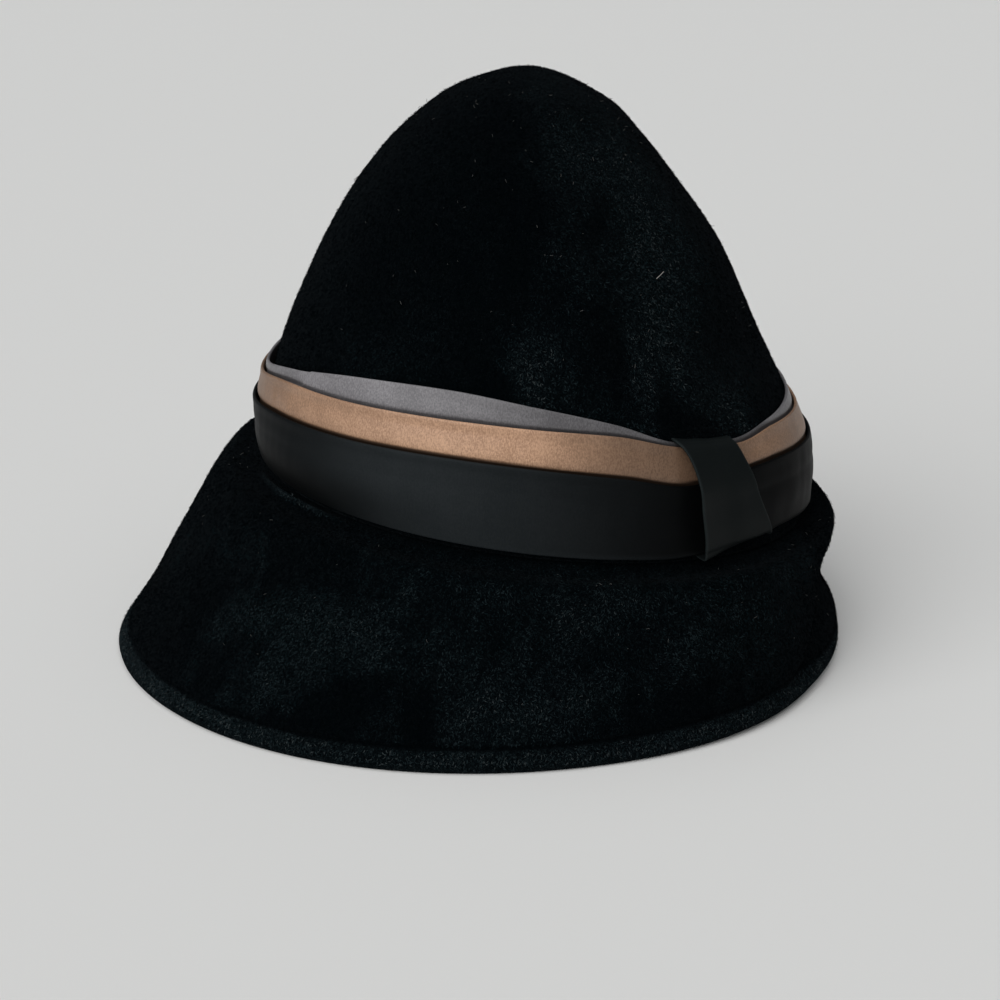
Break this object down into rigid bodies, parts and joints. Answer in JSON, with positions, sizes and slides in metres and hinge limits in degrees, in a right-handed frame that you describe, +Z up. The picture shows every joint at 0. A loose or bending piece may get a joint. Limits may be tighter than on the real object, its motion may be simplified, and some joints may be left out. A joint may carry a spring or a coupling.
{
  "type": "cloche hat",
  "caption": "Felt cloche hat with a tall pointed crown, a downturned brim, layered folded satin bands and a satin keeper loop.",
  "frame": {"origin": "centre of the rim's outline, on the surface that the rim rests on", "axes": "+Z up through the crown, -Y the hat's front, +X the wearer's left, the side with the keeper"},
  "size_m": [0.236, 0.279, 0.213],
  "materials": {
    "felt_velour": "brushed velour felt with a short nap",
    "satin_black": "folded satin, soft sheen",
    "satin_tan": "folded satin, soft sheen",
    "satin_grey": "folded satin, soft sheen"
  },
  "bodies": {
    "root": {"crown": "felt_velour", "brim": "felt_velour", "band_black": "satin_black", "band_tan": "satin_tan", "band_grey": "satin_grey", "keeper": "satin_black"}
  },
  "joints": []
}
